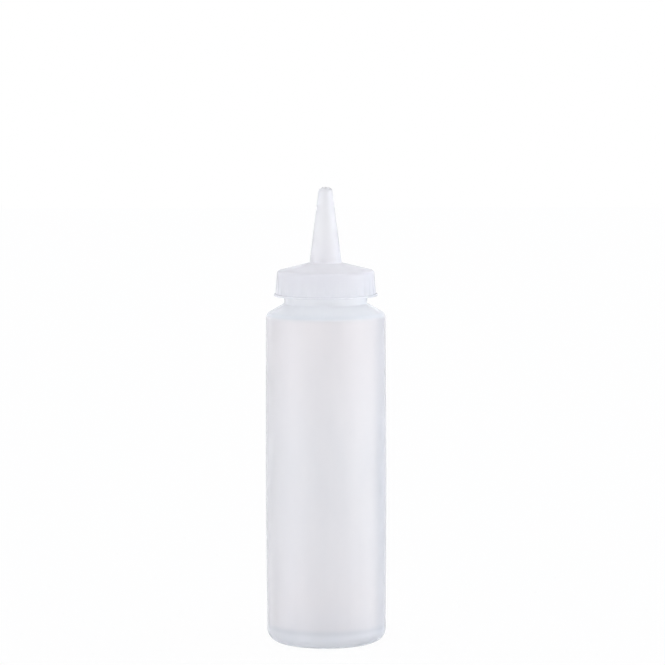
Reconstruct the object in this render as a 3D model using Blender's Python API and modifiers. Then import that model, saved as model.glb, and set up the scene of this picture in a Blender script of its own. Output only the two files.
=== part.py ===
"""A condiment squeeze bottle: a blown bottle, a screw cap with a cone nozzle and a soft seal ring.

Metres, +Z up. The origin is the middle of the ring that the bottle stands on, and +Z runs up the
bottle's axis. The cap stands screwed home. It comes off with a right-hand thread: seen from above it
turns counter-clockwise and rises by the thread's pitch each turn.
"""

import math

import bmesh
import bpy
from mathutils import Matrix, Vector

# Side and shoulder of the bottle
BODY_RADIUS = 0.02485
BODY_SWELL = 0.00035
BODY_WALL = 0.0010
HEEL_ROUND = 0.0054
SHOULDER_EDGE_HEIGHT = 0.1373
SHOULDER_EDGE_ROUND = 0.0029
SHOULDER_SLOPE = math.radians(29.8)

# Foot ring, pushed-up floor and the weld left where the blown tube was pinched shut
FOOT_WIDTH = 0.0014
FLOOR_RISE = 0.0022
WELD_LENGTH = 0.0200
WELD_RADIUS = 0.0005
WELD_SINK = 0.0001

# Neck
NECK_RADIUS = 0.01723
NECK_WALL = 0.0015
NECK_HEIGHT = 0.0110
NECK_FOOT_ROUND = 0.0006
RIM_ROUND = 0.0004

# Thread, whose two ridges are round in section
THREAD_PITCH = 0.004233
NECK_THREAD_TURNS = 1.1
NECK_THREAD_HEIGHT = 0.00145
NECK_RIDGE_RADIUS = 0.00105
CAP_RIDGE_RADIUS = 0.00095
THREAD_SETBACK = 0.0010
CREST_CLEARANCE = 0.00045
FLANK_CLEARANCE = 0.0003
THREAD_SINK = 0.0002
THREAD_FADE_SHARE = 0.12
THREAD_END_SHARE = 0.4
NECK_THREAD_START = math.radians(-70.0)

# Seal ring, held in the cap above the thread
SEAL_THICKNESS = 0.0009
SEAL_CLEARANCE = 0.0003
SEAL_EDGE = 0.0002

# Skirt of the cap
SKIRT_WALL = 0.00109
SKIRT_DRAFT = 0.00033
SKIRT_MOUTH_ROUND = 0.0003
FLANGE_LIP = 0.0005
FLANGE_THICKNESS = 0.0009
FLANGE_ROUND = 0.00025
CAP_DEPTH = 0.0094

# Grip ribs, highest at the flange and fading out under the crown
RIB_COUNT = 36
RIB_WIDTH = 0.0018
RIB_HEIGHT = 0.00045
RIB_FADE = 0.00005
RIB_ROOT = 0.0004

# Crown and nozzle of the cap
CROWN_EDGE_HEIGHT = 0.01046
CROWN_EDGE_ROUND = 0.0012
CROWN_SLOPE = math.radians(13.9)
CROWN_WALL = 0.0013
LAND_STEP = 0.0008
NOZZLE_LENGTH = 0.0312
NOZZLE_FOOT_RADIUS = 0.00667
NOZZLE_FOOT_ROUND = 0.0004
NOZZLE_TIP_RADIUS = 0.0028
NOZZLE_TIP_ROUND = 0.0016
NOZZLE_WALL = 0.0013
BORE_FOOT_ROUND = 0.0010
ORIFICE_RADIUS = 0.0012

# Fineness of the meshes
TURN_STEPS = 60
SIDE_STEPS = 4
ARC_STEP = math.radians(18.0)
SMALL_ROUND = 0.0008
SMALL_ROUND_STEPS = 2
THREAD_STEP = math.radians(12.0)
THREAD_SIDES = 2
RIB_SIDES = 8
WELD_SIDES = 8
MERGE = 0.00001

# Sizes that follow from the ones above
SLOPE_FALL = math.tan(SHOULDER_SLOPE)
SLOPE_SHIFT = BODY_WALL / math.cos(SHOULDER_SLOPE)
NECK_FOOT_HEIGHT = SHOULDER_EDGE_HEIGHT + (BODY_RADIUS - NECK_RADIUS) * SLOPE_FALL
RIM_HEIGHT = NECK_FOOT_HEIGHT + NECK_HEIGHT
NECK_BORE_RADIUS = NECK_RADIUS - NECK_WALL
NECK_CREST_RADIUS = NECK_RADIUS + NECK_THREAD_HEIGHT
CAP_BORE_RADIUS = NECK_CREST_RADIUS + CREST_CLEARANCE
CAP_CREST_RADIUS = NECK_RADIUS + CREST_CLEARANCE
CAP_HEIGHT = RIM_HEIGHT + SEAL_THICKNESS + SEAL_CLEARANCE + SEAL_CLEARANCE - CAP_DEPTH
SKIRT_TOP_RADIUS = CAP_BORE_RADIUS + SKIRT_WALL
SKIRT_FOOT_RADIUS = SKIRT_TOP_RADIUS + SKIRT_DRAFT
FLANGE_RADIUS = SKIRT_FOOT_RADIUS + RIB_HEIGHT + FLANGE_LIP
CROWN_FALL = math.tan(CROWN_SLOPE)
NOZZLE_FOOT_HEIGHT = CROWN_EDGE_HEIGHT + (SKIRT_TOP_RADIUS - NOZZLE_FOOT_RADIUS) * CROWN_FALL
NOZZLE_TIP_HEIGHT = NOZZLE_FOOT_HEIGHT + NOZZLE_LENGTH


def clear_scene():
    """Removes every object that the file opened with."""
    for item in list(bpy.data.objects):
        bpy.data.objects.remove(item, do_unlink=True)


def new_collection(name):
    """Makes a collection under the scene's own."""
    collection = bpy.data.collections.new(name)
    bpy.context.scene.collection.children.link(collection)
    return collection


def plastic(name, color, roughness, clearness):
    """A Principled material for one piece, in its colour, roughness and share of light let through."""
    material = bpy.data.materials.new(name)
    material.use_nodes = True
    shader = material.node_tree.nodes["Principled BSDF"]
    shader.inputs["Base Color"].default_value = (*color, 1.0)
    shader.inputs["Roughness"].default_value = roughness
    shader.inputs["Metallic"].default_value = 0.0
    shader.inputs["IOR"].default_value = 1.51
    shader.inputs["Transmission Weight"].default_value = clearness
    return material


def rounded(corners):
    """Joins (radius, height, round) corners into an outline, with an arc wherever round isn't zero."""
    outline = []
    last = len(corners) - 1
    for index, (radius, height, fillet) in enumerate(corners):
        corner = Vector((radius, height))
        if fillet == 0 or index in (0, last):
            outline.append(corner)
            continue
        before = (Vector(corners[index - 1][:2]) - corner).normalized()
        after = (Vector(corners[index + 1][:2]) - corner).normalized()
        half = before.angle(after) / 2
        reach = fillet / math.tan(half)
        centre = corner + (before + after).normalized() * (fillet / math.sin(half))
        first = corner + before * reach - centre
        turn = first.angle_signed(corner + after * reach - centre)
        steps = SMALL_ROUND_STEPS if fillet < SMALL_ROUND else max(2, round(abs(turn) / ARC_STEP))
        for step in range(steps + 1):
            spun = Matrix.Rotation(-turn * step / steps, 2) @ first
            outline.append(centre + spun)
    return outline


def turned(name, outline, closed, collection, parent=None):
    """Turns an outline of (radius, height) points about the Z axis with a Screw modifier."""
    mesh = bpy.data.meshes.new(name)
    count = len(outline)
    edges = [(index, (index + 1) % count) for index in range(count if closed else count - 1)]
    mesh.from_pydata([(point[0], 0.0, point[1]) for point in outline], edges, [])
    piece = bpy.data.objects.new(name, mesh)
    collection.objects.link(piece)
    piece.parent = parent
    screw = piece.modifiers.new("Turn", "SCREW")
    screw.axis = "Z"
    screw.steps = TURN_STEPS
    screw.render_steps = TURN_STEPS
    screw.use_merge_vertices = True
    screw.merge_threshold = MERGE
    screw.use_smooth_shade = True
    return piece


def make_cutter(piece):
    """Marks an object as one that only shapes another."""
    piece.hide_render = True
    piece.display_type = "WIRE"


def unite(piece, tool, name):
    """Joins a tool to a piece with a Boolean modifier."""
    make_cutter(tool)
    boolean = piece.modifiers.new(name, "BOOLEAN")
    boolean.operation = "UNION"
    boolean.solver = "EXACT"
    boolean.object = tool


def mesh_from_curve(curve, cutters):
    """Turns a bevelled curve object into a closed mesh object in the same place."""
    bpy.context.view_layer.update()
    evaluated = curve.evaluated_get(bpy.context.evaluated_depsgraph_get())
    mesh = bpy.data.meshes.new_from_object(evaluated)
    welded = bmesh.new()
    welded.from_mesh(mesh)
    bmesh.ops.remove_doubles(welded, verts=welded.verts, dist=MERGE)
    bmesh.ops.recalc_face_normals(welded, faces=welded.faces)
    welded.to_mesh(mesh)
    welded.free()
    solid = bpy.data.objects.new(curve.name.replace("_path", ""), mesh)
    cutters.objects.link(solid)
    solid.matrix_world = curve.matrix_world.copy()
    bpy.data.objects.remove(curve, do_unlink=True)
    return solid


def thread_ridge(name, wall_radius, crest_radius, ridge_radius, start, cutters):
    """A right-hand helical ridge on a round wall, which sinks into the wall at both its ends.

    start is (angle, height, turns) of the ridge's lower end, with the height in world space.
    """
    angle, height, turns = start
    side = math.copysign(1.0, crest_radius - wall_radius)
    sunk_radius = wall_radius - side * THREAD_SINK
    sweep = turns * math.tau
    steps = math.ceil(sweep / THREAD_STEP)
    curve = bpy.data.curves.new(name + "_path", "CURVE")
    curve.dimensions = "3D"
    curve.bevel_depth = ridge_radius
    curve.bevel_resolution = THREAD_SIDES
    curve.use_fill_caps = True
    spline = curve.splines.new("POLY")
    spline.points.add(steps)
    for step, point in enumerate(spline.points):
        share = step / steps
        nearest = min(share, 1.0 - share)
        fade = math.sin(min(nearest / THREAD_FADE_SHARE, 1.0) * math.pi / 2)
        size = THREAD_END_SHARE + (1.0 - THREAD_END_SHARE) * fade
        crest = sunk_radius + (crest_radius - sunk_radius) * fade
        centre = crest - side * ridge_radius * size
        heading = angle + sweep * share
        rise = height + THREAD_PITCH * turns * share
        point.co = (centre * math.cos(heading), centre * math.sin(heading), rise, 1.0)
        point.radius = size
    path = bpy.data.objects.new(name + "_path", curve)
    cutters.objects.link(path)
    return mesh_from_curve(path, cutters)


def side_radius(height, low, high):
    """Radius of the bottle's side, which swells a little at mid height."""
    share = (height - low) / (high - low)
    return BODY_RADIUS + BODY_SWELL * math.sin(math.pi * share)


def floor_curve(foot_inner, lift):
    """Points of the pushed-up floor, from the foot ring's inner edge to the axis."""
    shares = (0.92, 0.82, 0.66, 0.40, 0.0)
    return [(foot_inner * share, lift + FLOOR_RISE * (1.0 - share ** 4), 0) for share in shares]


def bottle_outline():
    """Outline of the bottle's shell: up its inside from the axis, over the rim and down its outside."""
    foot_outer = BODY_RADIUS - HEEL_ROUND
    foot_inner = foot_outer - FOOT_WIDTH
    inner_radius = BODY_RADIUS - BODY_WALL
    inner_edge = SHOULDER_EDGE_HEIGHT + BODY_WALL * SLOPE_FALL - SLOPE_SHIFT
    inner_neck_foot = SHOULDER_EDGE_HEIGHT + (BODY_RADIUS - NECK_BORE_RADIUS) * SLOPE_FALL - SLOPE_SHIFT
    low = HEEL_ROUND
    high = SHOULDER_EDGE_HEIGHT - SHOULDER_EDGE_ROUND
    heights = [low + (high - low) * step / SIDE_STEPS for step in range(1, SIDE_STEPS)]

    inside = floor_curve(foot_inner, BODY_WALL)[::-1]
    inside.append((foot_inner, BODY_WALL, 0))
    inside.append((inner_radius, BODY_WALL, HEEL_ROUND - BODY_WALL))
    inside += [(side_radius(height, low, high) - BODY_WALL, height, 0) for height in heights]
    inside.append((inner_radius, inner_edge, SHOULDER_EDGE_ROUND - BODY_WALL))
    inside.append((NECK_BORE_RADIUS, inner_neck_foot, NECK_FOOT_ROUND + BODY_WALL))
    inside.append((NECK_BORE_RADIUS, RIM_HEIGHT, RIM_ROUND))

    outside = [(NECK_RADIUS, RIM_HEIGHT, RIM_ROUND)]
    outside.append((NECK_RADIUS, NECK_FOOT_HEIGHT, NECK_FOOT_ROUND))
    outside.append((BODY_RADIUS, SHOULDER_EDGE_HEIGHT, SHOULDER_EDGE_ROUND))
    outside += [(side_radius(height, low, high), height, 0) for height in heights[::-1]]
    outside.append((BODY_RADIUS, 0, HEEL_ROUND))
    outside.append((foot_inner, 0, 0))
    outside += floor_curve(foot_inner, 0)
    return rounded(inside + outside)


def base_weld(cutters):
    """The straight weld under the floor, a round bar lying along X and half sunk in the floor."""
    mesh = bpy.data.meshes.new("base_weld")
    bar = bmesh.new()
    bmesh.ops.create_cone(
        bar,
        cap_ends=True,
        segments=WELD_SIDES,
        radius1=WELD_RADIUS,
        radius2=WELD_RADIUS,
        depth=WELD_LENGTH,
        matrix=Matrix.Rotation(math.pi / 2, 4, "Y"),
    )
    bar.to_mesh(mesh)
    bar.free()
    weld = bpy.data.objects.new("base_weld", mesh)
    weld.location = (0, 0, FLOOR_RISE - WELD_SINK)
    cutters.objects.link(weld)
    return weld


def neck_thread_start():
    """Angle, height and turns of the neck's thread at its lower end."""
    top = RIM_HEIGHT - THREAD_SETBACK - NECK_RIDGE_RADIUS
    return (NECK_THREAD_START, top - THREAD_PITCH * NECK_THREAD_TURNS, NECK_THREAD_TURNS)


def cap_thread_start():
    """Angle, height and turns of the cap's thread, which lies just under the neck's ridge."""
    neck_angle, neck_height, _ = neck_thread_start()
    neck_centre = NECK_CREST_RADIUS - NECK_RIDGE_RADIUS
    cap_centre = CAP_CREST_RADIUS + CAP_RIDGE_RADIUS
    apart = NECK_RIDGE_RADIUS + CAP_RIDGE_RADIUS + FLANK_CLEARANCE
    below = math.sqrt(apart ** 2 - (cap_centre - neck_centre) ** 2)
    low = CAP_HEIGHT + SKIRT_MOUTH_ROUND + CAP_RIDGE_RADIUS
    high = RIM_HEIGHT - CAP_RIDGE_RADIUS
    angle = neck_angle + math.tau * (low - neck_height + below) / THREAD_PITCH
    return (angle, low, (high - low) / THREAD_PITCH)


def build_bottle(parts, cutters):
    """The blown bottle: shell, neck with its thread, and the weld under the floor."""
    bottle = turned("bottle_body", bottle_outline(), False, parts)
    thread = thread_ridge(
        "neck_thread", NECK_RADIUS, NECK_CREST_RADIUS, NECK_RIDGE_RADIUS, neck_thread_start(), cutters
    )
    unite(bottle, thread, "Neck thread")
    unite(bottle, base_weld(cutters), "Base weld")
    bottle.data.materials.append(plastic("bottle_plastic", (0.84, 0.86, 0.90), 0.38, 0.5))
    return bottle


def crown_height(radius):
    """Height of the crown's upper face above the skirt's lower end."""
    return CROWN_EDGE_HEIGHT + (SKIRT_TOP_RADIUS - radius) * CROWN_FALL


def cap_outline():
    """Outline of the cap: down its outside from the nozzle's tip, and up its inside again."""
    cone_lean = math.atan((NOZZLE_FOOT_RADIUS - NOZZLE_TIP_RADIUS) / NOZZLE_LENGTH)
    crown_under = CROWN_WALL / math.cos(CROWN_SLOPE)
    land_inner = NECK_BORE_RADIUS - SEAL_CLEARANCE
    bore_foot_radius = NOZZLE_FOOT_RADIUS - NOZZLE_WALL / math.cos(cone_lean)
    step_radius = land_inner - LAND_STEP
    return rounded([
        (ORIFICE_RADIUS, NOZZLE_TIP_HEIGHT, 0),
        (NOZZLE_TIP_RADIUS, NOZZLE_TIP_HEIGHT, NOZZLE_TIP_ROUND),
        (NOZZLE_FOOT_RADIUS, NOZZLE_FOOT_HEIGHT, NOZZLE_FOOT_ROUND),
        (SKIRT_TOP_RADIUS, CROWN_EDGE_HEIGHT, CROWN_EDGE_ROUND),
        (SKIRT_FOOT_RADIUS, FLANGE_THICKNESS, 0),
        (FLANGE_RADIUS, FLANGE_THICKNESS, FLANGE_ROUND),
        (FLANGE_RADIUS, 0, FLANGE_ROUND),
        (CAP_BORE_RADIUS, 0, SKIRT_MOUTH_ROUND),
        (CAP_BORE_RADIUS, CAP_DEPTH, 0),
        (land_inner, CAP_DEPTH, 0),
        (step_radius, crown_height(step_radius) - crown_under, 0),
        (bore_foot_radius, crown_height(bore_foot_radius) - crown_under, BORE_FOOT_ROUND),
        (ORIFICE_RADIUS, NOZZLE_TIP_HEIGHT - NOZZLE_TIP_ROUND, 0),
    ])


def grip_ribs(parent, cutters):
    """The ribs round the skirt, as one mesh of separate closed bars rooted in the skirt and flange."""
    low = FLANGE_THICKNESS / 2
    high = CROWN_EDGE_HEIGHT - CROWN_EDGE_ROUND
    ribs = bmesh.new()
    for index in range(RIB_COUNT):
        made = bmesh.ops.create_cone(
            ribs, cap_ends=True, segments=RIB_SIDES, radius1=1, radius2=1, depth=1
        )
        spin = Matrix.Rotation(math.tau * index / RIB_COUNT, 4, "Z")
        for vert in made["verts"]:
            share = vert.co.z + 0.5
            height = low + (high - low) * share
            surface = SKIRT_FOOT_RADIUS - SKIRT_DRAFT * height / CROWN_EDGE_HEIGHT
            proud = RIB_HEIGHT - (RIB_HEIGHT + RIB_FADE) * share
            centre = surface - RIB_ROOT
            across = vert.co.y * RIB_WIDTH / 2
            vert.co = spin @ Vector((centre + (RIB_ROOT + proud) * vert.co.x, across, height))
    mesh = bpy.data.meshes.new("grip_ribs")
    ribs.to_mesh(mesh)
    ribs.free()
    piece = bpy.data.objects.new("grip_ribs", mesh)
    piece.parent = parent
    cutters.objects.link(piece)
    return piece


def build_cap(parent, parts, cutters):
    """The screw cap with its ribbed skirt, flange, crown, hollow nozzle and inner thread."""
    cap = turned("nozzle_cap", cap_outline(), True, parts, parent)
    unite(cap, grip_ribs(parent, cutters), "Grip ribs")
    thread = thread_ridge(
        "cap_thread", CAP_BORE_RADIUS, CAP_CREST_RADIUS, CAP_RIDGE_RADIUS, cap_thread_start(), cutters
    )
    unite(cap, thread, "Cap thread")
    cap.data.materials.append(plastic("cap_plastic", (0.85, 0.87, 0.91), 0.34, 0.55))
    return cap


def build_seal(parent, parts):
    """The flat soft ring between the bottle's rim and the land inside the cap."""
    inner = NECK_BORE_RADIUS
    outer = CAP_BORE_RADIUS - SEAL_CLEARANCE
    high = CAP_DEPTH - SEAL_CLEARANCE
    low = high - SEAL_THICKNESS
    outline = [
        (inner + SEAL_EDGE, high),
        (outer - SEAL_EDGE, high),
        (outer, high - SEAL_EDGE),
        (outer, low + SEAL_EDGE),
        (outer - SEAL_EDGE, low),
        (inner + SEAL_EDGE, low),
        (inner, low + SEAL_EDGE),
        (inner, high - SEAL_EDGE),
    ]
    seal = turned("seal_ring", outline, True, parts, parent)
    seal.data.materials.append(plastic("seal_foam", (0.80, 0.81, 0.83), 0.60, 0.0))
    return seal


def main():
    """Builds the bottle, then the cap and its seal on an empty at the foot of the cap."""
    clear_scene()
    parts = new_collection("condiment_squeeze_bottle")
    cutters = new_collection("cutters")
    cap_seat = bpy.data.objects.new("cap_seat", None)
    cap_seat.location = (0, 0, CAP_HEIGHT)
    parts.objects.link(cap_seat)
    build_bottle(parts, cutters)
    build_seal(cap_seat, parts)
    build_cap(cap_seat, parts, cutters)
    bpy.context.view_layer.update()


main()
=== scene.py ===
"""Dresses the condiment squeeze bottle: the blown bottle, its screw cap and the seal ring between them.

Lengths are metres, +Z is up and the bottle's axis is the Z axis. Every piece is a turned shell. The bottle
and the cap carry their relief in their meshes: the threads, the grip ribs, the mould's parting line, the
ripple of the blown wall and the weld under the floor.
"""

from __future__ import annotations

import logging
import math
from dataclasses import dataclass
from enum import Enum
from typing import Callable, Sequence

import bmesh
import bpy
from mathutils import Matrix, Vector


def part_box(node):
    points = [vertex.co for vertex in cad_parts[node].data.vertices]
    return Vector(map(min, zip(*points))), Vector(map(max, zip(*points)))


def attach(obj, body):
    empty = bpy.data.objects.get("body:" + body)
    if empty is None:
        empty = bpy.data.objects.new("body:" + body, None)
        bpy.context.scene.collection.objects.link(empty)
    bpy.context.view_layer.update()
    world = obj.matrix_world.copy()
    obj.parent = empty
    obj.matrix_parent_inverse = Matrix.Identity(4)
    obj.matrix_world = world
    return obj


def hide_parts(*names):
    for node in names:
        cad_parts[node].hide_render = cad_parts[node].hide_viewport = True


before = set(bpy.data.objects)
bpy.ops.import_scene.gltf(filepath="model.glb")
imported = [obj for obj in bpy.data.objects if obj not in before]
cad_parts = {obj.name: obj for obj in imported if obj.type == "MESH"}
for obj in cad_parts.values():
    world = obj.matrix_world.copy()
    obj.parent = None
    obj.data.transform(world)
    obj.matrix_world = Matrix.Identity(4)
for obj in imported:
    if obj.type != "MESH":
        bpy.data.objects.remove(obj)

log = logging.getLogger("squeeze_bottle")

Color = tuple[float, float, float]
Direction = tuple[float, float, float]
Offset = tuple[float, float]
Ring = list[bmesh.types.BMVert]
Socket = bpy.types.NodeSocket

WHITE: Color = (1.0, 1.0, 1.0)

# The neck and the cap share their screw thread.
THREAD_PITCH = 0.004233
THREAD_RISE = 0.00145

# A round has at least this many steps, however slight its bend.
FEWEST_ROUND_STEPS = 3

# Noise keeps mostly between these two values.
NOISE_LOW = 0.3
NOISE_HIGH = 0.7

# Places of the colour sockets of a Mix node, which has several sockets of each name.
MIX_FIRST = 6
MIX_SECOND = 7
MIX_RESULT = 2


class Zone(Enum):
    """Stretches of an outline that carry their own relief."""

    PLAIN = "plain"
    SIDE = "outside of the bottle's side"
    LINING = "inside of the bottle's side"
    UNDERSIDE = "under the bottle's floor"
    NECK = "outside of the neck"
    GRIP = "outside of the skirt"
    BORE = "inside of the skirt"


class Fineness(Enum):
    """How finely a run of an outline is divided: its longest step."""

    PLAIN = 0.003
    BROAD = 0.0025
    LOOSE = 0.002
    MEDIUM = 0.001
    CLOSE = 0.0008
    TIGHT = 0.0005
    FINE = 0.0004
    FINEST = 0.00015


class Blending(Enum):
    """Ways to blend two colours."""

    MIX = "MIX"
    MULTIPLY = "MULTIPLY"


@dataclass(frozen=True)
class Corner:
    """A corner of an outline, and how the run that leaves it is made.

    radius and height place it, fillet rounds it, zone and step tell the relief and the fineness of the run.
    """

    radius: float
    height: float
    fillet: float = 0.0
    zone: Zone = Zone.PLAIN
    step: Fineness = Fineness.PLAIN

    def point(self) -> Vector:
        """The corner as a point of the outline's plane."""
        return Vector((self.radius, self.height))


@dataclass(frozen=True)
class Station:
    """One point of a finished outline."""

    radius: float
    height: float
    zone: Zone


Relief = Callable[[Station, float], Offset]


def no_relief(station: Station, heading: float) -> Offset:
    """The relief of a plain surface: no offset at any station and heading."""
    return (0.0, 0.0)


def smooth_bump(distance: float, half_width: float) -> float:
    """Height, from 0 to 1, of a rounded ridge at a distance from its middle.

    Args:
        distance: distance from the ridge's middle line.
        half_width: distance at which the ridge ends.

    Returns:
        1 on the middle line, falling smoothly to 0 at half_width and beyond.
    """
    share = min(abs(distance) / half_width, 1.0)
    return (1.0 - share * share) ** 2


def turn_apart(first: float, second: float) -> float:
    """Signed angle from second to first, between -pi and pi."""
    return (first - second + math.pi) % math.tau - math.pi


def arc_points(corner: Corner, before: Corner, after: Corner, bend: float) -> list[Vector]:
    """Points of the round at a corner.

    Args:
        corner: the corner to round.
        before: the corner before it.
        after: the corner after it.
        bend: largest angle between neighbouring points.

    Returns:
        The arc's points, or the corner alone where it has no fillet.
    """
    middle = corner.point()
    if corner.fillet == 0:
        return [middle]
    back = (before.point() - middle).normalized()
    ahead = (after.point() - middle).normalized()
    half = back.angle(ahead) / 2
    centre = middle + (back + ahead).normalized() * (corner.fillet / math.sin(half))
    reach = corner.fillet / math.tan(half)
    first = middle + back * reach - centre
    last = middle + ahead * reach - centre
    start = math.atan2(first.y, first.x)
    sweep = turn_apart(math.atan2(last.y, last.x), start)
    count = max(FEWEST_ROUND_STEPS, math.ceil(abs(sweep) / bend))
    points = []
    for index in range(count + 1):
        angle = start + sweep * index / count
        points.append(centre + Vector((math.cos(angle), math.sin(angle))) * corner.fillet)
    return points


def trace(corners: Sequence[Corner], closed: bool, bend: float) -> list[Station]:
    """Turns corners into an outline of closely set stations.

    Args:
        corners: the corners, in order.
        closed: True if the last corner joins the first.
        bend: largest angle between neighbouring points of a round.

    Returns:
        The stations in the same order.
    """
    count = len(corners)
    rounds = []
    for index, corner in enumerate(corners):
        if not closed and index in (0, count - 1):
            rounds.append([corner.point()])
        else:
            rounds.append(arc_points(corner, corners[index - 1], corners[(index + 1) % count], bend))
    stations = []
    for index, corner in enumerate(corners):
        points = rounds[index]
        last_zone = corners[index - 1].zone
        half = (len(points) - 1) / 2
        for place, point in enumerate(points):
            zone = corner.zone if place >= half else last_zone
            stations.append(Station(point.x, point.y, zone))
        if index == count - 1 and not closed:
            break
        run = rounds[(index + 1) % count][0] - points[-1]
        steps = max(1, math.ceil(run.length / corner.step.value))
        for step in range(1, steps):
            point = points[-1] + run * (step / steps)
            stations.append(Station(point.x, point.y, corner.zone))
    return stations


def mesh_object(name: str, mesh: bmesh.types.BMesh) -> bpy.types.Object:
    """Turns a finished mesh into an object of the scene.

    Args:
        name: the object's name.
        mesh: the mesh, which is freed.

    Returns:
        The new object.
    """
    data = bpy.data.meshes.new(name)
    mesh.to_mesh(data)
    mesh.free()
    thing = bpy.data.objects.new(name, data)
    bpy.context.scene.collection.objects.link(thing)
    return thing


@dataclass(frozen=True)
class TurnedShell:
    """A closed shell made by turning an outline about the Z axis and pressing relief into it.

    name names the object, stations are the outline, closed tells whether it is a ring clear of the axis,
    around is the number of steps in a turn, and relief gives each point's offset in radius and height.
    """

    name: str
    stations: Sequence[Station]
    closed: bool
    around: int
    relief: Relief

    def build(self) -> bpy.types.Object:
        """Makes the mesh object, shaded smooth, with its faces pointing out.

        Returns:
            The new object.
        """
        mesh = bmesh.new()
        rings = [self._ring(mesh, station) for station in self.stations]
        pairs = list(zip(rings, rings[1:]))
        if self.closed:
            pairs.append((rings[-1], rings[0]))
        for lower, upper in pairs:
            self._band(mesh, lower, upper)
        bmesh.ops.recalc_face_normals(mesh, faces=mesh.faces)
        for face in mesh.faces:
            face.smooth = True
        return mesh_object(self.name, mesh)

    def _ring(self, mesh: bmesh.types.BMesh, station: Station) -> Ring:
        """Makes one station's ring of points, or its single point on the axis.

        Args:
            mesh: the mesh that the points go into.
            station: the station.

        Returns:
            The ring's points, counter-clockwise from above.
        """
        if station.radius == 0:
            _, up = self.relief(station, 0.0)
            return [mesh.verts.new((0.0, 0.0, station.height + up))]
        ring = []
        for index in range(self.around):
            heading = math.tau * index / self.around
            out, up = self.relief(station, heading)
            radius = station.radius + out
            place = (radius * math.cos(heading), radius * math.sin(heading), station.height + up)
            ring.append(mesh.verts.new(place))
        return ring

    def _band(self, mesh: bmesh.types.BMesh, lower: Ring, upper: Ring) -> None:
        """Joins two neighbouring rings with faces.

        Args:
            mesh: the mesh that the faces go into.
            lower: the ring that comes first on the outline.
            upper: the ring after it.
        """
        for index in range(self.around):
            beyond = (index + 1) % self.around
            if len(lower) == 1:
                mesh.faces.new((lower[0], upper[beyond], upper[index]))
            elif len(upper) == 1:
                mesh.faces.new((lower[index], lower[beyond], upper[0]))
            else:
                mesh.faces.new((lower[index], lower[beyond], upper[beyond], upper[index]))


@dataclass(frozen=True)
class Thread:
    """A right-hand helical ridge on a wall.

    angle and height place its lower end, and turns is its length. half_width is half its width along the
    axis, inward is True for a ridge inside a bore, and fade_share is the share of its length in which an
    end sinks into the wall.
    """

    angle: float
    height: float
    turns: float
    half_width: float
    inward: bool = False
    fade_share: float = 0.1

    def offset(self, height: float, heading: float) -> float:
        """Offset in radius that the ridge gives to a point of its wall.

        Args:
            height: the point's height.
            heading: the point's angle about the axis.

        Returns:
            The offset in metres, negative for a ridge inside a bore.
        """
        first = ((heading - self.angle) % math.tau) / math.tau
        highest = 0.0
        for whole in range(math.ceil(self.turns) + 1):
            turn = first + whole
            if turn > self.turns:
                break
            share = turn / self.turns
            fade = math.sin(min(min(share, 1.0 - share) / self.fade_share, 1.0) * math.pi / 2)
            crest = smooth_bump(height - self.height - THREAD_PITCH * turn, self.half_width)
            highest = max(highest, fade * crest)
        proud = THREAD_RISE * highest
        return -proud if self.inward else proud


@dataclass(frozen=True)
class Wave:
    """A slow unevenness of a blown wall.

    count is the number of waves in a turn, climb how far they turn over the wall's height and start where
    they begin, both in radians.
    """

    count: int
    climb: float
    start: float = 0.0

    def at(self, heading: float, share: float) -> float:
        """The wave, from -1 to 1, at an angle about the axis and a share of the wall's height."""
        return math.sin(self.count * heading + self.climb * share + self.start)


@dataclass(frozen=True)
class Pattern:
    """A noise pattern in space.

    stretch scales the space along each axis, scale is the noise's scale per metre, and detail tells how
    many finer layers it has.
    """

    stretch: Direction
    scale: float
    detail: float


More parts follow.
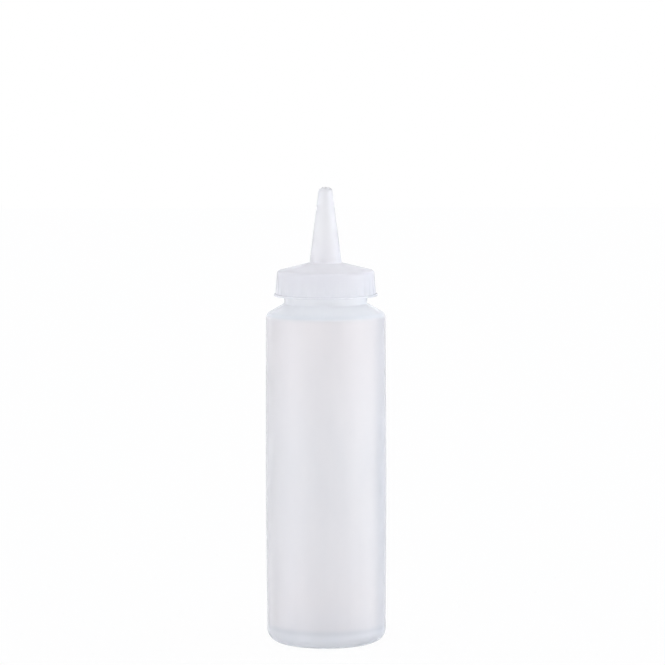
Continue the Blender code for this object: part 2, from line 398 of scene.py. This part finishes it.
class NodeBoard:
    """Short ways to add and join shader nodes in one node tree."""

    def __init__(self, tree: bpy.types.NodeTree) -> None:
        """Takes the tree to work on."""
        self.tree = tree

    def add(self, kind: str, **values: object) -> bpy.types.Node:
        """Adds a node and sets its settings or its sockets by name.

        Args:
            kind: the node's type.
            **values: settings of the node, or values of its input sockets with _ for a space.

        Returns:
            The new node.
        """
        node = self.tree.nodes.new(kind)
        for name, value in values.items():
            if hasattr(node, name):
                setattr(node, name, value)
            else:
                node.inputs[name.replace("_", " ")].default_value = value
        return node

    def join(self, source: Socket, target: Socket) -> None:
        """Links two sockets."""
        self.tree.links.new(source, target)

    def remap(self, value: Socket, low: float, high: float, **values: object) -> Socket:
        """Maps the range from low to high onto 0 to 1, or onto To_Min to To_Max.

        Args:
            value: the socket of the value.
            low: the value that gives 0, or To_Min.
            high: the value that gives 1, or To_Max.
            **values: more settings of the node.

        Returns:
            The socket of the result.
        """
        node = self.add("ShaderNodeMapRange", From_Min=low, From_Max=high, **values)
        self.join(value, node.inputs["Value"])
        return node.outputs["Result"]

    def step(self, value: Socket, low: float, high: float) -> Socket:
        """A smooth step of a value, 0 at low and 1 at high."""
        return self.remap(value, low, high, interpolation_type="SMOOTHSTEP")

    def along(self, place: Socket, direction: Direction) -> Socket:
        """How far a vector reaches along a direction.

        Args:
            place: the socket of the vector.
            direction: the direction, of length 1.

        Returns:
            The socket of their dot product.
        """
        node = self.add("ShaderNodeVectorMath", operation="DOT_PRODUCT")
        node.inputs[1].default_value = direction
        self.join(place, node.inputs[0])
        return node.outputs["Value"]

    def ramp(self, share: Socket, stops: Sequence[tuple[float, Color]]) -> Socket:
        """A colour that runs through stops.

        Args:
            share: the socket that picks the place between the stops, from 0 to 1.
            stops: pairs of a place from 0 to 1 and the colour there, in order.

        Returns:
            The colour socket.
        """
        node = self.add("ShaderNodeValToRGB")
        elements = node.color_ramp.elements
        while len(elements) < len(stops):
            elements.new(1.0)
        for element, (place, color) in zip(elements, stops):
            element.position = place
            element.color = (*color, 1.0)
        self.join(share, node.inputs["Fac"])
        return node.outputs["Color"]

    def height_ramp(self, stops: Sequence[tuple[float, Color]]) -> Socket:
        """A colour that follows the height in the object's own space.

        Args:
            stops: pairs of a height in metres and the colour there, from the lowest up.

        Returns:
            The colour socket.
        """
        lowest, highest = stops[0][0], stops[-1][0]
        place = self.add("ShaderNodeTexCoord")
        split = self.add("ShaderNodeSeparateXYZ")
        self.join(place.outputs["Object"], split.inputs["Vector"])
        share = self.remap(split.outputs["Z"], lowest, highest)
        shares = [((height - lowest) / (highest - lowest), color) for height, color in stops]
        return self.ramp(share, shares)

    def noise(self, pattern: Pattern) -> Socket:
        """Noise in the object's own space.

        Args:
            pattern: its pattern.

        Returns:
            The socket of the noise's value.
        """
        place = self.add("ShaderNodeTexCoord")
        mapping = self.add("ShaderNodeMapping", Scale=pattern.stretch)
        noise = self.add("ShaderNodeTexNoise", Scale=pattern.scale, Detail=pattern.detail)
        self.join(place.outputs["Object"], mapping.inputs["Vector"])
        self.join(mapping.outputs["Vector"], noise.inputs["Vector"])
        return noise.outputs["Fac"]

    def spread(self, pattern: Pattern, low: float = 0.0, high: float = 1.0) -> Socket:
        """Noise whose useful range is spread between two values."""
        return self.remap(self.noise(pattern), NOISE_LOW, NOISE_HIGH, To_Min=low, To_Max=high)

    def blend(
        self,
        factor: Socket,
        first: Color | Socket,
        second: Color | Socket,
        way: Blending = Blending.MIX,
    ) -> Socket:
        """Mixes two colours.

        Args:
            factor: the socket that chooses, 0 for the first and 1 for the second.
            first: a colour or a colour socket.
            second: a colour or a colour socket.
            way: how they are blended.

        Returns:
            The colour socket.
        """
        node = self.add("ShaderNodeMix", data_type="RGBA", blend_type=way.value)
        self.join(factor, node.inputs["Factor"])
        for place, color in ((MIX_FIRST, first), (MIX_SECOND, second)):
            if isinstance(color, tuple):
                node.inputs[place].default_value = (*color, 1.0)
            else:
                self.join(color, node.inputs[place])
        return node.outputs[MIX_RESULT]

    def bump(self, height: Socket, strength: float, distance: float) -> None:
        """Presses a fine relief into the surface of the tree's Principled shader.

        Args:
            height: the socket of the relief's height, from 0 to 1.
            strength: how strongly it tilts the surface, from 0 to 1.
            distance: the height in metres that 1 stands for.
        """
        node = self.add("ShaderNodeBump", Strength=strength, Distance=distance)
        self.join(height, node.inputs["Height"])
        self.join(node.outputs["Normal"], self.tree.nodes["Principled BSDF"].inputs["Normal"])


def new_material(name: str) -> tuple[bpy.types.Material, NodeBoard]:
    """Makes a material with a Principled shader.

    Args:
        name: the material's name.

    Returns:
        The material and the board for its nodes.
    """
    material = bpy.data.materials.new(name)
    material.use_nodes = True
    return material, NodeBoard(material.node_tree)


@dataclass(frozen=True)
class MilkyPlastic:
    """Natural low-density polyethylene: milky, translucent and satin from the mould.

    Its colour changes with height over the bottle's foot: its own tone, with bands of painted shade and
    painted light. clear_by_height is the share of light that passes through there instead of being
    scattered back.
    cloud and streak are how much it is darkened in patches and along the flow of the melt.
    satin_low and satin_high are the ends of its roughness, skin and polish the share and the roughness of
    its clear skin, grain and grain_strength the depth and the strength of the mould's fine texture, and
    index its refractive index.
    """

    name: str
    # Colours by height: the plastic's own tone, with bands of painted shade and painted light.
    color_and_painted_shading_by_height: tuple[tuple[float, Color], ...]
    clear_by_height: tuple[tuple[float, float], ...]
    satin_low: float
    satin_high: float
    skin: float
    grain: float
    cloud: Color = (0.975, 0.98, 0.985)
    streak: Color = (0.985, 0.985, 0.985)
    polish: float = 0.05
    index: float = 1.51
    cloud_pattern: Pattern = Pattern((1.0, 1.0, 0.35), 160.0, 3.0)
    streak_pattern: Pattern = Pattern((1.0, 1.0, 0.02), 260.0, 2.0)
    satin_pattern: Pattern = Pattern((1.0, 1.0, 0.6), 420.0, 4.0)
    grain_pattern: Pattern = Pattern((1.0, 1.0, 1.0), 2600.0, 2.0)
    grain_strength: float = 0.35

    def material(self) -> bpy.types.Material:
        """Makes the material: tone, painted light and shade by height, clouds, uneven satin, clear skin,
        fine grain.

        Returns:
            The new material.
        """
        material, board = new_material(self.name)
        shader = material.node_tree.nodes["Principled BSDF"]
        shader.inputs["IOR"].default_value = self.index
        shader.inputs["Metallic"].default_value = 0.0
        shader.inputs["Coat Weight"].default_value = self.skin
        shader.inputs["Coat Roughness"].default_value = self.polish
        shader.inputs["Coat IOR"].default_value = self.index
        clouds = board.spread(self.cloud_pattern)
        streaks = board.spread(self.streak_pattern)
        # The colour by height carries painted shade and painted light; clouds and streaks darken it in
        # patches.
        painted_shading_and_haze = board.blend(clouds, board.height_ramp(self.color_and_painted_shading_by_height), self.cloud, Blending.MULTIPLY)
        painted_shading_and_haze = board.blend(streaks, painted_shading_and_haze, self.streak, Blending.MULTIPLY)
        board.join(painted_shading_and_haze, shader.inputs["Base Color"])
        clear = [(height, (share, share, share)) for height, share in self.clear_by_height]
        board.join(board.height_ramp(clear), shader.inputs["Transmission Weight"])
        satin = board.spread(self.satin_pattern, self.satin_low, self.satin_high)
        board.join(satin, shader.inputs["Roughness"])
        board.bump(board.noise(self.grain_pattern), self.grain_strength, self.grain)
        return material


@dataclass(frozen=True)
class SoftSeal:
    """Soft foamed plastic of the seal ring: matt, white and slightly mottled.

    light and shade are the colours in the middle and at the edge of its cells, cell their size and
    cell_strength how strongly they mark the surface.
    """

    name: str
    light: Color
    shade: Color
    roughness: float
    cell: float
    cell_strength: float

    def material(self) -> bpy.types.Material:
        """Makes the material, with a fine cell pattern in its colour and surface.

        Returns:
            The new material.
        """
        material, board = new_material(self.name)
        shader = material.node_tree.nodes["Principled BSDF"]
        place = board.add("ShaderNodeTexCoord")
        cells = board.add("ShaderNodeTexVoronoi", Scale=1.0 / self.cell)
        board.join(place.outputs["Object"], cells.inputs["Vector"])
        mottle = board.blend(cells.outputs["Distance"], self.light, self.shade)
        board.join(mottle, shader.inputs["Base Color"])
        shader.inputs["Roughness"].default_value = self.roughness
        board.bump(cells.outputs["Distance"], self.cell_strength, self.cell)
        return material


BOTTLE_PLASTIC = MilkyPlastic(
    name="bottle_milky_plastic",
    color_and_painted_shading_by_height=(
        # Painted shadow along the lower edge of the foot.
        (0.0, (0.61, 0.645, 0.69)),
        (0.0012, (0.86, 0.885, 0.93)),
        (0.0040, (0.935, 0.94, 0.95)),
        (0.0056, (0.94, 0.945, 0.955)),
        # Painted shade: a dark band round the heel.
        (0.0069, (0.82, 0.83, 0.84)),
        (0.0088, (0.935, 0.915, 0.91)),
        (0.030, (0.93, 0.92, 0.92)),
        (0.075, (0.94, 0.935, 0.935)),
        (0.1346, (0.965, 0.945, 0.94)),
        (0.1352, (0.955, 0.935, 0.93)),
        # Painted shade: a dark band on the shoulder's round.
        (0.1362, (0.93, 0.92, 0.915)),
        (0.1366, (0.865, 0.88, 0.895)),
        (0.1376, (0.90, 0.925, 0.945)),
        # Painted light: the shoulder and the neck lighter, against the shade under the cap's flange.
        (0.1388, (0.985, 0.995, 1.0)),
        (0.153, (1.0, 1.0, 1.0)),
    ),
    clear_by_height=(
        (0.0, 0.85),
        (0.1358, 0.85),
        (0.1366, 0.42),
        (0.1412, 0.36),
        (0.1424, 0.65),
        (0.1432, 0.72),
        (0.153, 0.72),
    ),
    satin_low=0.30,
    satin_high=0.42,
    skin=0.75,
    grain=0.00004,
)

CAP_PLASTIC = MilkyPlastic(
    name="cap_milky_plastic",
    color_and_painted_shading_by_height=(
        # Painted shade on the flange's lip.
        (0.144, (0.89, 0.895, 0.91)),
        (0.1449, (0.89, 0.895, 0.91)),
        (0.1453, (0.99, 0.99, 1.0)),
        # Painted light on the crown.
        (0.1585, (1.0, 0.99, 1.0)),
        (0.1600, (0.975, 0.965, 0.97)),
        (0.172, (0.965, 0.96, 0.955)),
        (0.190, (0.93, 0.925, 0.925)),
    ),
    clear_by_height=(
        (0.144, 0.30),
        (0.1449, 0.30),
        (0.1455, 0.70),
        (0.1530, 0.70),
        (0.1545, 0.57),
        (0.1585, 0.57),
        (0.1600, 0.78),
        (0.190, 0.78),
    ),
    satin_low=0.29,
    satin_high=0.38,
    skin=0.50,
    grain=0.00003,
)

SEAL_FOAM = SoftSeal(
    name="seal_soft_foam",
    light=(0.88, 0.89, 0.91),
    shade=(0.78, 0.79, 0.82),
    roughness=0.65,
    cell=0.0004,
    cell_strength=0.4,
)


@dataclass
class Bottle:
    """The blown bottle: foot ring, pushed-up floor, heel, side, shoulder and threaded neck.

    swell is how far the side bulges half way up. floor_shares are the places of the floor's corners between
    the axis and the foot ring, and floor_power tells how flat the floor is in its middle. line_flat is half
    the angle of the shallow flat that the parting line lies in, and line_ridge half the angle of its ridge.
    The ripple dents the outside of the side, and the thickness ripple waves its inside.
    """

    wall: float = 0.0010
    swell: float = 0.00035
    heel: float = 0.0054
    foot_width: float = 0.0014
    foot_edge: float = 0.0003
    floor_rise: float = 0.0022
    floor_power: int = 4
    floor_shares: tuple[float, ...] = (0.0, 0.25, 0.4, 0.55, 0.66, 0.75, 0.82, 0.88, 0.94)
    shoulder_height: float = 0.1373
    shoulder_round: float = 0.0029
    shoulder_slope: float = math.radians(29.8)
    neck_radius: float = 0.01723
    neck_wall: float = 0.0015
    neck_foot_round: float = 0.0006
    rim_round: float = 0.0004
    weld_half_length: float = 0.0100
    weld_half_width: float = 0.0006
    weld_height: float = 0.0004
    line_height: float = 0.00005
    line_ridge: float = math.radians(1.2)
    line_flat: float = math.radians(14.0)
    ripple: float = 0.00003
    ripple_waves: tuple[Wave, ...] = (Wave(3, 4.0), Wave(7, -5.0))
    thickness_ripple: float = 0.00008
    thickness_waves: tuple[Wave, ...] = (Wave(2, 9.0), Wave(5, -14.0, 1.0))
    thread: Thread = Thread(angle=math.radians(-70.0), height=0.1459, turns=1.1, half_width=0.00125)
    around: int = 288
    bend: float = math.radians(9.0)

    def outline(self, low: Vector, high: Vector) -> list[Station]:
        """The shell's outline: up its inside from the axis, over the rim and down its outside.

        Args:
            low: lowest corner of the bottle's box.
            high: highest corner of the bottle's box.

        Returns:
            The outline's stations.
        """
        body = high.x - self.swell
        rim = high.z
        foot_outer = body - self.heel
        foot_inner = foot_outer - self.foot_width
        slope = math.tan(self.shoulder_slope)
        shift = self.wall / math.cos(self.shoulder_slope)
        neck_bore = self.neck_radius - self.neck_wall
        inner_edge = self.shoulder_height + self.wall * slope - shift
        inner_neck = self.shoulder_height + (body - neck_bore) * slope - shift
        neck_foot = self.shoulder_height + (body - self.neck_radius) * slope
        inside = [
            Corner(foot_inner * share, self.wall + self._floor(share), step=Fineness.CLOSE)
            for share in self.floor_shares
        ]
        inside += [
            Corner(foot_inner, self.wall),
            Corner(body - self.wall, self.wall, self.heel - self.wall, Zone.LINING, Fineness.BROAD),
            Corner(body - self.wall, inner_edge, self.shoulder_round - self.wall),
            Corner(neck_bore, inner_neck, self.neck_foot_round + self.wall, step=Fineness.LOOSE),
            Corner(neck_bore, rim, self.rim_round, step=Fineness.FINE),
        ]
        outside = [
            Corner(self.neck_radius, rim, self.rim_round, Zone.NECK, Fineness.FINEST),
            Corner(self.neck_radius, neck_foot, self.neck_foot_round, step=Fineness.MEDIUM),
            Corner(body, self.shoulder_height, self.shoulder_round, Zone.SIDE, Fineness.BROAD),
            Corner(body, low.z, self.heel, step=Fineness.FINE),
            Corner(foot_inner, low.z, self.foot_edge, Zone.UNDERSIDE, Fineness.TIGHT),
        ]
        outside += [
            Corner(foot_inner * share, self._floor(share), 0.0, Zone.UNDERSIDE, Fineness.FINE)
            for share in reversed(self.floor_shares)
        ]
        return trace(inside + outside, False, self.bend)

    def _floor(self, share: float) -> float:
        """Rise of the pushed-up floor at a share of the way from the axis to the foot ring."""
        return self.floor_rise * (1.0 - share ** self.floor_power)

    def relief(self, station: Station, heading: float) -> Offset:
        """Relief of the shell, from the mould and from blowing.

        Args:
            station: the station of the outline.
            heading: the angle about the axis.

        Returns:
            The offset of the point in radius and height.
        """
        if station.zone is Zone.NECK:
            return (self.thread.offset(station.height, heading), 0.0)
        if station.zone is Zone.UNDERSIDE:
            return (0.0, -self._weld(station.radius, heading))
        if station.zone not in (Zone.SIDE, Zone.LINING):
            return (0.0, 0.0)
        low = self.heel
        high = self.shoulder_height - self.shoulder_round
        share = min(max((station.height - low) / (high - low), 0.0), 1.0)
        arch = math.sin(math.pi * share)
        calm = arch ** 0.5
        if station.zone is Zone.LINING:
            uneven = sum(wave.at(heading, share) for wave in self.thickness_waves)
            return (self.swell * arch + self.thickness_ripple * calm * uneven, 0.0)
        dent = sum(wave.at(heading, share) for wave in self.ripple_waves) - len(self.ripple_waves)
        return (self.swell * arch + (self.ripple * dent + self._line(heading)) * calm, 0.0)

    def _line(self, heading: float) -> float:
        """The mould's parting line: a fine ridge at both ends of the X axis, in a shallow flat.

        Args:
            heading: the angle about the axis.

        Returns:
            The offset in radius.
        """
        apart = min(abs(turn_apart(heading, 0.0)), abs(turn_apart(heading, math.pi)))
        return self.line_height * (smooth_bump(apart, self.line_ridge) - smooth_bump(apart, self.line_flat))

    def _weld(self, radius: float, heading: float) -> float:
        """The pinched weld under the floor, which lies along X.

        Args:
            radius: distance from the axis.
            heading: the angle about the axis.

        Returns:
            The weld's height there.
        """
        along = abs(radius * math.cos(heading))
        across = radius * math.sin(heading)
        past = max(along - self.weld_half_length + self.weld_half_width, 0.0)
        end = smooth_bump(past, self.weld_half_width)
        return self.weld_height * smooth_bump(across, self.weld_half_width) * end

    def build(self) -> bpy.types.Object:
        """Makes the bottle in place of its CAD node, on its body and in its finish.

        Returns:
            The bottle's shell.
        """
        low, high = (Vector(corner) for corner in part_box("bottle_body"))
        outline = self.outline(low, high)
        shell = TurnedShell("bottle_shell", outline, False, self.around, self.relief).build()
        shell.data.materials.append(BOTTLE_PLASTIC.material())
        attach(shell, "bottle")
        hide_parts("bottle_body")
        return shell


@dataclass
class Cap:
    """The screw cap: flange, ribbed skirt, sloped crown, hollow cone nozzle and inner thread.

    Heights are counted from the skirt's lower end. flange_lip is how far the flange stands out from the
    skirt, depth how far up the land is that presses on the seal, and tip_fall how far the nozzle's rounded
    tip falls from its hole. rib_fade is how far a rib would lie under the skirt's surface at the crown, so
    that it runs out just below it.
    """

    bore: float = 0.01913
    skirt_top: float = 0.02022
    skirt_foot: float = 0.02055
    mouth_round: float = 0.0003
    flange_thickness: float = 0.0009
    flange_lip: float = 0.00095
    flange_round: float = 0.00025
    depth: float = 0.0094
    crown_edge: float = 0.01046
    crown_round: float = 0.0015
    crown_slope: float = math.radians(13.9)
    crown_wall: float = 0.0013
    land_inner: float = 0.01543
    land_step: float = 0.0008
    nozzle_foot: float = 0.00667
    nozzle_foot_round: float = 0.0004
    nozzle_length: float = 0.0312
    tip_radius: float = 0.0027
    tip_round: float = 0.0019
    tip_fall: float = 0.0003
    nozzle_wall: float = 0.0013
    bore_foot_round: float = 0.0010
    orifice: float = 0.0012
    orifice_edge: float = 0.00005
    sharp_round: float = 0.0001
    inner_round: float = 0.0002
    rib_count: int = 36
    rib_width: float = 0.0022
    rib_height: float = 0.00030
    rib_fade: float = 0.00005
    thread_start: float = 0.00125
    thread_angle: float = math.radians(110.0)
    thread_turns: float = 1.35
    thread_half_width: float = 0.00115
    steps_per_rib: int = 10
    bend: float = math.radians(12.0)

    def outline(self, base: float) -> list[Station]:
        """The cap's outline: down its outside from the nozzle's tip, and up its inside again.

        Args:
            base: height of the skirt's lower end.

        Returns:
            The outline's stations.
        """
        fall = math.tan(self.crown_slope)
        foot_height = self.crown_edge + (self.skirt_top - self.nozzle_foot) * fall
        tip_height = foot_height + self.nozzle_length
        under = self.crown_wall / math.cos(self.crown_slope)
        lean = math.atan((self.nozzle_foot - self.tip_radius) / self.nozzle_length)
        bore_foot = self.nozzle_foot - self.nozzle_wall / math.cos(lean)
        bore_foot_height = self.crown_edge + (self.skirt_top - bore_foot) * fall - under
        step = self.land_inner - self.land_step
        step_height = self.crown_edge + (self.skirt_top - step) * fall - under
        flange = self.skirt_foot + self.flange_lip
        corners = [
            Corner(self.orifice, tip_height, self.orifice_edge),
            Corner(self.tip_radius, tip_height - self.tip_fall, self.tip_round, step=Fineness.LOOSE),
            Corner(self.nozzle_foot, foot_height, self.nozzle_foot_round, step=Fineness.MEDIUM),
            Corner(self.skirt_top, self.crown_edge, self.crown_round, Zone.GRIP, Fineness.TIGHT),
            Corner(self.skirt_foot, self.flange_thickness, self.sharp_round, step=Fineness.FINE),
            Corner(flange, self.flange_thickness, self.flange_round),
            Corner(flange, 0.0, self.flange_round),
            Corner(self.bore, 0.0, self.mouth_round, Zone.BORE, Fineness.FINEST),
            Corner(self.bore, self.depth, self.inner_round, step=Fineness.CLOSE),
            Corner(self.land_inner, self.depth, self.sharp_round),
            Corner(step, step_height, self.inner_round, step=Fineness.MEDIUM),
            Corner(bore_foot, bore_foot_height, self.bore_foot_round),
            Corner(self.orifice, tip_height - self.tip_round, self.inner_round),
        ]
        return [Station(at.radius, at.height + base, at.zone) for at in trace(corners, True, self.bend)]

    def relief(self, base: float) -> Relief:
        """The cap's relief: its grip ribs and its thread.

        Args:
            base: height of the skirt's lower end.

        Returns:
            The function that gives the relief of each point.
        """
        thread = Thread(
            angle=self.thread_angle,
            height=base + self.thread_start,
            turns=self.thread_turns,
            half_width=self.thread_half_width,
            inward=True,
        )
        spacing = math.tau / self.rib_count

        def offset(station: Station, heading: float) -> Offset:
            """Relief of one point.

            Args:
                station: the station of the outline.
                heading: the angle about the axis.

            Returns:
                The offset of the point in radius and height.
            """
            if station.zone is Zone.BORE:
                return (thread.offset(station.height, heading), 0.0)
            if station.zone is not Zone.GRIP:
                return (0.0, 0.0)
            share = (station.height - base - self.flange_thickness) / (self.crown_edge - self.crown_round)
            proud = max(self.rib_height - (self.rib_height + self.rib_fade) * share, 0.0)
            apart = (heading + spacing / 2) % spacing - spacing / 2
            return (proud * smooth_bump(apart * station.radius, self.rib_width / 2), 0.0)

        return offset

    def build(self) -> bpy.types.Object:
        """Makes the cap in place of its CAD node, on its body and in its finish.

        Returns:
            The cap's shell.
        """
        low, _ = (Vector(corner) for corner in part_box("nozzle_cap"))
        outline = self.outline(low.z)
        around = self.rib_count * self.steps_per_rib
        shell = TurnedShell("cap_shell", outline, True, around, self.relief(low.z)).build()
        shell.data.materials.append(CAP_PLASTIC.material())
        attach(shell, "cap")
        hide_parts("nozzle_cap")
        return shell


@dataclass
class Seal:
    """The soft ring pressed between the neck's rim and the land inside the cap."""

    edge: float = 0.00025
    inner: float = 0.01573
    around: int = 180
    bend: float = math.radians(20.0)

    def build(self) -> bpy.types.Object:
        """Makes the ring in place of its CAD node, on its body and in its finish.

        Returns:
            The seal ring.
        """
        low, high = (Vector(corner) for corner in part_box("seal_ring"))
        corners = [
            Corner(self.inner, high.z, self.edge, step=Fineness.CLOSE),
            Corner(high.x, high.z, self.edge),
            Corner(high.x, low.z, self.edge, step=Fineness.CLOSE),
            Corner(self.inner, low.z, self.edge),
        ]
        stations = trace(corners, True, self.bend)
        ring = TurnedShell("seal_soft_ring", stations, True, self.around, no_relief).build()
        ring.data.materials.append(SEAL_FOAM.material())
        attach(ring, "seal")
        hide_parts("seal_ring")
        return ring


class Tint(Enum):
    """Tints of the white cloth that the studio's tent is made of."""

    PLAIN = (1.0, 1.01, 1.06)
    COOL = (0.90, 0.98, 1.13)
    WARM = (1.03, 1.0, 0.92)

    def at(self, level: float) -> Color:
        """The light of the cloth at a level of brightness."""
        return tuple(level * share for share in self.value)


@dataclass(frozen=True)
class Glow:
    """How bright a place of the tent's wall is, and in which tint.

    bearing is its direction about the bottle in degrees, from the camera's side towards +X.
    """

    bearing: float
    level: float
    tint: Tint = Tint.PLAIN

    def place(self) -> float:
        """Its place in a turn that starts behind the bottle, from 0 to 1."""
        return (self.bearing + 180.0) / 360.0


@dataclass(frozen=True)
class Layer:
    """A layer of plain cloth above or below the tent's wall.

    It starts at one elevation and is full at another. front is its level at its bearing and back its level
    on the other side. Angles are in degrees, and bearings count as a glow's do.
    """

    start: float
    full: float
    bearing: float
    front: float
    back: float


def rise(elevation: float) -> float:
    """Upward part of a direction at an elevation in degrees."""
    return math.sin(math.radians(elevation))


@dataclass
class LightTent:
    """The white tent round the bottle: a bright panel at each side, dimmer cloth between them and behind.

    Angles are in degrees. The wall starts at the elevation wall_start and is full at wall_full, and ground
    is the level of the warm cloth right below. A layer's front turns into its back within turnover of its
    middle line, as a share of the tent's radius. card is the level of the pale card behind the bottle. Its
    middle lies card_drop below the horizon, and it is full within card_reach of there and ends at card_end.
    seen is what the camera sees of the tent.
    """

    wall: tuple[Glow, ...] = (
        Glow(-180.0, 0.75),
        Glow(-160.0, 0.80),
        Glow(-140.0, 1.20),
        Glow(-120.0, 1.00),
        Glow(-85.0, 1.30),
        Glow(-65.0, 1.40),
        Glow(-45.0, 1.15),
        Glow(-25.0, 0.80),
        Glow(0.0, 0.77),
        Glow(25.0, 0.80),
        Glow(45.0, 1.20),
        Glow(65.0, 1.60),
        Glow(90.0, 1.80),
        Glow(108.0, 1.85),
        Glow(114.0, 1.00, Tint.COOL),
        Glow(135.0, 1.10, Tint.COOL),
        Glow(155.0, 1.00),
        Glow(180.0, 0.75),
    )
    wall_start: float = -28.0
    wall_full: float = -12.0
    ground: float = 0.90
    skirting: Layer = Layer(start=-65.0, full=-45.0, bearing=0.0, front=1.15, back=0.85)
    slope: Layer = Layer(start=18.0, full=32.0, bearing=40.0, front=1.14, back=0.84)
    roof: Layer = Layer(start=45.0, full=60.0, bearing=-60.0, front=0.70, back=0.88)
    turnover: float = 0.3
    card: float = 0.92
    card_drop: float = 7.0
    card_reach: float = 18.0
    card_end: float = 34.0
    seen: Color = WHITE

    def build(self) -> None:
        """Makes the world."""
        world = bpy.data.worlds.new("light_tent")
        world.use_nodes = True
        world.cycles.sampling_method = "NONE"
        board = NodeBoard(world.node_tree)
        board.tree.nodes.clear()
        output = board.add("ShaderNodeOutputWorld")
        sky = board.add("ShaderNodeBackground")
        board.join(sky.outputs["Background"], output.inputs["Surface"])
        place = board.add("ShaderNodeTexCoord").outputs["Generated"]
        split = board.add("ShaderNodeSeparateXYZ")
        board.join(place, split.inputs["Vector"])
        up = split.outputs["Z"]
        low = self._laid(board, place, up, Tint.WARM.at(self.ground), self.skirting)
        start = board.step(up, rise(self.wall_start), rise(self.wall_full))
        light = board.blend(start, low, self._wall(board, split))
        light = self._laid(board, place, up, light, self.slope)
        light = self._laid(board, place, up, light, self.roof)
        light = board.blend(self._card(board, place), light, Tint.PLAIN.at(self.card))
        path = board.add("ShaderNodeLightPath")
        board.join(board.blend(path.outputs["Is Camera Ray"], light, self.seen), sky.inputs["Color"])
        bpy.context.scene.world = world

    def _laid(
        self,
        board: NodeBoard,
        place: Socket,
        up: Socket,
        below: Color | Socket,
        layer: Layer,
    ) -> Socket:
        """The light with one more layer laid over what is below it.

        Args:
            board: the board of the world's nodes.
            place: the socket of the direction.
            up: the socket of its upward part.
            below: the light below the layer.
            layer: the layer.

        Returns:
            The colour socket.
        """
        bearing = math.radians(layer.bearing)
        away = board.along(place, (-math.sin(bearing), math.cos(bearing), 0.0))
        depth = board.remap(away, -self.turnover, self.turnover)
        own = board.blend(depth, Tint.PLAIN.at(layer.front), Tint.PLAIN.at(layer.back))
        return board.blend(board.step(up, rise(layer.start), rise(layer.full)), below, own)

    def _card(self, board: NodeBoard, place: Socket) -> Socket:
        """Where the card behind the bottle is.

        Args:
            board: the board of the world's nodes.
            place: the socket of the direction.

        Returns:
            The socket of a value, 1 on the card and 0 away from it.
        """
        drop = math.radians(self.card_drop)
        facing = board.along(place, (0.0, math.cos(drop), -math.sin(drop)))
        end = math.cos(math.radians(self.card_end))
        return board.step(facing, end, math.cos(math.radians(self.card_reach)))

    def _wall(self, board: NodeBoard, split: bpy.types.Node) -> Socket:
        """The wall's light by bearing.

        Args:
            board: the board of the world's nodes.
            split: the node that splits a direction into X, Y and Z.

        Returns:
            The colour socket.
        """
        ahead = board.add("ShaderNodeMath", operation="MULTIPLY")
        ahead.inputs[1].default_value = -1.0
        board.join(split.outputs["Y"], ahead.inputs[0])
        bearing = board.add("ShaderNodeMath", operation="ARCTAN2")
        board.join(split.outputs["X"], bearing.inputs[0])
        board.join(ahead.outputs["Value"], bearing.inputs[1])
        share = board.remap(bearing.outputs["Value"], -math.pi, math.pi)
        return board.ramp(share, [(glow.place(), glow.tint.at(glow.level)) for glow in self.wall])


@dataclass
class Floor:
    """The pale floor, seen by the camera alone: white, with the bottle's soft shadow.

    It lies a gap below the bottle's foot. glow is the share of its own white light, which no shadow dims,
    and paint how pale it is under the light that falls on it.
    """

    half_size: float = 3.0
    segments: int = 8
    gap: float = 0.00005
    glow: float = 0.94
    paint: float = 0.94

    def build(self) -> None:
        """Makes the floor."""
        mesh = bmesh.new()
        bmesh.ops.create_grid(mesh, x_segments=self.segments, y_segments=self.segments, size=self.half_size)
        floor = mesh_object("floor", mesh)
        floor.location = (0.0, 0.0, -self.gap)
        floor.visible_diffuse = False
        floor.visible_glossy = False
        floor.visible_transmission = False
        material, board = new_material("floor_white")
        board.tree.nodes.clear()
        output = board.add("ShaderNodeOutputMaterial")
        paint = board.add("ShaderNodeBsdfDiffuse", Color=(self.paint, self.paint, self.paint, 1.0))
        glow = board.add("ShaderNodeEmission", Color=(*WHITE, 1.0))
        mix = board.add("ShaderNodeMixShader", Fac=self.glow)
        board.join(paint.outputs["BSDF"], mix.inputs[1])
        board.join(glow.outputs["Emission"], mix.inputs[2])
        board.join(mix.outputs["Shader"], output.inputs["Surface"])
        floor.data.materials.append(material)


@dataclass
class Viewpoint:
    """The camera, at the photograph's viewing angle.

    focal_pixels is its focal length in pixels of a picture that is picture_width pixels wide.
    """

    place: tuple[float, float, float] = (0.0031, -1.400, 0.266)
    pitch_down: float = math.radians(5.573)
    roll: float = math.radians(0.14)
    focal_pixels: float = 3385.8
    picture_width: float = 665.0
    sensor: float = 36.0
    farthest: float = 20.0

    def build(self) -> None:
        """Makes the camera."""
        data = bpy.data.cameras.new("camera")
        data.type = "PERSP"
        data.sensor_width = self.sensor
        data.lens = self.focal_pixels / self.picture_width * self.sensor
        data.clip_end = self.farthest
        camera = bpy.data.objects.new("camera", data)
        camera.location = self.place
        camera.rotation_euler = (math.pi / 2 - self.pitch_down, self.roll, 0.0)
        bpy.context.scene.collection.objects.link(camera)
        bpy.context.scene.camera = camera


@dataclass
class Studio:
    """The floor, the light and the camera, and how far light is followed through the plastic."""

    bounces: int = 32
    scattered_bounces: int = 16

    def build(self) -> None:
        """Makes the studio."""
        Floor().build()
        LightTent().build()
        Viewpoint().build()
        scene = bpy.context.scene
        scene.view_settings.view_transform = "Standard"
        scene.cycles.blur_glossy = 0.0
        scene.cycles.max_bounces = self.bounces
        scene.cycles.transmission_bounces = self.bounces
        scene.cycles.diffuse_bounces = self.scattered_bounces
        scene.cycles.glossy_bounces = self.scattered_bounces


def main() -> None:
    """Builds every piece in order, then the studio."""
    logging.basicConfig(level=logging.INFO, format="%(message)s")
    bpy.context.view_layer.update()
    for maker in (Bottle(), Cap(), Seal()):
        piece = maker.build()
        log.info("%s: %d faces", piece.name, len(piece.data.polygons))
    Studio().build()


if __name__ == "__main__":
    main()
